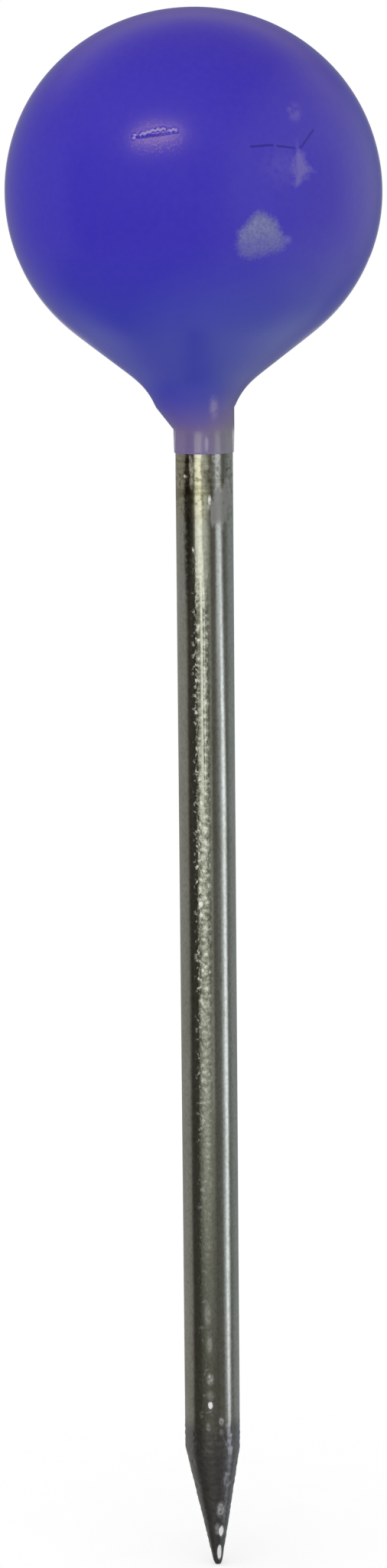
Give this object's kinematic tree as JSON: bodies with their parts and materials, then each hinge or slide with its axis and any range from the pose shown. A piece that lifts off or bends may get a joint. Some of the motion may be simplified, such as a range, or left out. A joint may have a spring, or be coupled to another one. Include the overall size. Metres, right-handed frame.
{
  "type": "push pin",
  "caption": "Ball-headed push pin: a round plastic head moulded on a straight steel needle with a ground point, for marking a map or pinning paper to a board.",
  "frame": {"origin": "on the needle's axis, at the lower edge of the head's collar, where the bare needle begins", "axes": "+Z along the needle's axis from the point towards the head, +X towards the side of the ball that the needle stands nearest to, +Y away from the viewer of the picture"},
  "size_m": [0.004, 0.004, 0.0173],
  "materials": {
    "head_plastic": "opaque blue-violet moulded plastic with a soft shine and a few scuffs",
    "needle_steel": "bright plated wire, a little mottled, with a ground point"
  },
  "bodies": {
    "root": {"ball_head": "head_plastic", "needle": "needle_steel"}
  },
  "joints": []
}
